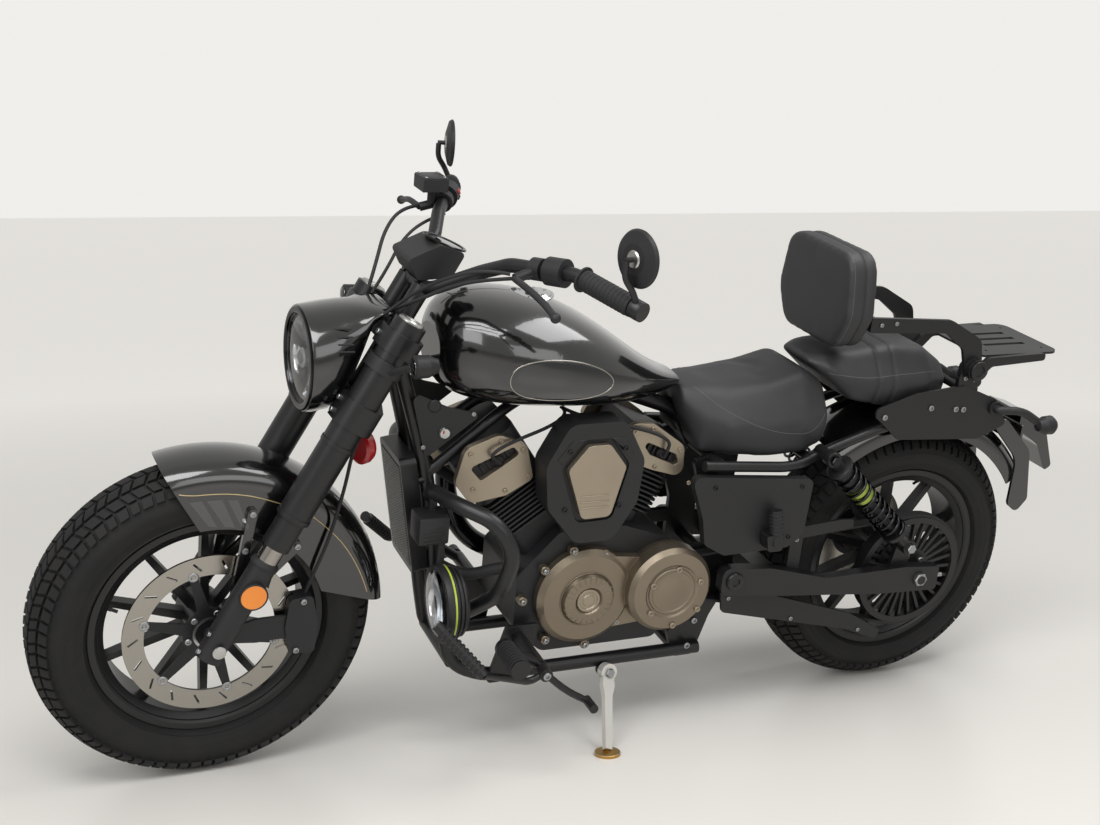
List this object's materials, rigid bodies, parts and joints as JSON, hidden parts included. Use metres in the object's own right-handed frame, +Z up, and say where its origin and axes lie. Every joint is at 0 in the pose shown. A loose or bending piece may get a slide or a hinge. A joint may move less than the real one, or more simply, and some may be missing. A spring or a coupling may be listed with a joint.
{
  "type": "cruiser motorcycle",
  "caption": "Cruiser motorcycle with a V engine, wide handlebar, cast wheels, belt drive, passenger backrest, rear rack and side stand, leaning as it parks.",
  "frame": {"origin": "on the floor, below the middle of the parked motorcycle's bounding box", "axes": "+X forward, +Y to the motorcycle's left, +Z up; the motorcycle leans about 12 degrees to its left on its side stand"},
  "size_m": [2.2418, 0.9516, 1.2485],
  "materials": {
    "gloss_black": "gloss",
    "satin_black": "satin",
    "champagne": "satin metallic",
    "bronze": "satin metallic",
    "black_chrome": "polished",
    "chrome": "polished",
    "cast_aluminium": "satin",
    "steel": "ground",
    "tyre": "matte",
    "rubber": "matte",
    "leather": "satin",
    "black_plastic": "matte",
    "clear_glass": "clear",
    "red_lens": "gloss",
    "amber_lens": "gloss"
  },
  "bodies": {
    "frame": {"frame": "satin_black", "engine_case": "satin_black", "engine_covers": "bronze", "cylinders": "satin_black", "champagne_covers": "champagne", "air_cleaner": "black_plastic", "exhaust": "black_chrome", "radiator": "black_plastic", "fuel_tank": "gloss_black", "tank_cap": "chrome", "rider_seat": "leather", "pillion_seat": "leather", "side_covers": "satin_black", "rear_fender": "gloss_black", "tail_panels": "gloss_black", "tail_lamp": "red_lens", "rear_indicators": "black_plastic", "rack": "satin_black", "swingarm": "satin_black", "shocks": "satin_black", "drive_belt": "rubber", "belt_guards": "black_plastic", "foot_controls": "satin_black", "crash_bars": "satin_black", "aux_lamps": "satin_black"},
    "steering": {"fork": "satin_black", "fork_lower": "satin_black", "front_fender": "gloss_black", "fork_reflectors": "amber_lens", "headlamp_shell": "gloss_black", "headlamp_lens": "clear_glass", "handlebar": "satin_black", "instrument": "black_plastic", "grips": "rubber", "hand_controls": "satin_black", "mirrors": "satin_black", "front_indicators": "black_plastic", "brake_caliper": "satin_black", "brake_hose": "rubber", "horn": "red_lens"},
    "front_wheel": {"front_tyre": "tyre", "front_rim": "satin_black", "front_disc": "steel"},
    "rear_wheel": {"rear_tyre": "tyre", "rear_rim": "satin_black", "rear_pulley": "satin_black", "rear_disc": "steel"},
    "side_stand": {"side_stand": "cast_aluminium"},
    "backrest": {"backrest_arms": "satin_black", "backrest_pad": "leather"}
  },
  "joints": [
    {"name": "steering_turn", "type": "hinge", "parent": "frame", "child": "steering", "pos_m": [0.48422, -0.04791, 0.78603], "axis": [-0.4894, 0.1797, 0.8533], "range_deg": [-40.4, 35.6]},
    {"name": "front_wheel_spin", "type": "hinge", "parent": "steering", "child": "front_wheel", "pos_m": [0.80223, -0.1453, 0.3151], "axis": [-0.0367, 0.9734, -0.2261], "continuous": true},
    {"name": "rear_wheel_spin", "type": "hinge", "parent": "frame", "child": "rear_wheel", "pos_m": [-0.71775, -0.1499, 0.30307], "axis": [-0.0002, 0.9785, -0.2062], "continuous": true},
    {"name": "side_stand_fold", "type": "hinge", "parent": "frame", "child": "side_stand", "pos_m": [0.00511, -0.04889, 0.13196], "axis": [-0.0953, 0.992, 0.0834], "range_deg": [0, 115]},
    {"name": "backrest_fold", "type": "hinge", "parent": "frame", "child": "backrest", "pos_m": [-0.78636, -0.05299, 0.76302], "axis": [0.0002, -0.9785, 0.2062], "range_deg": [0, 70]}
  ]
}
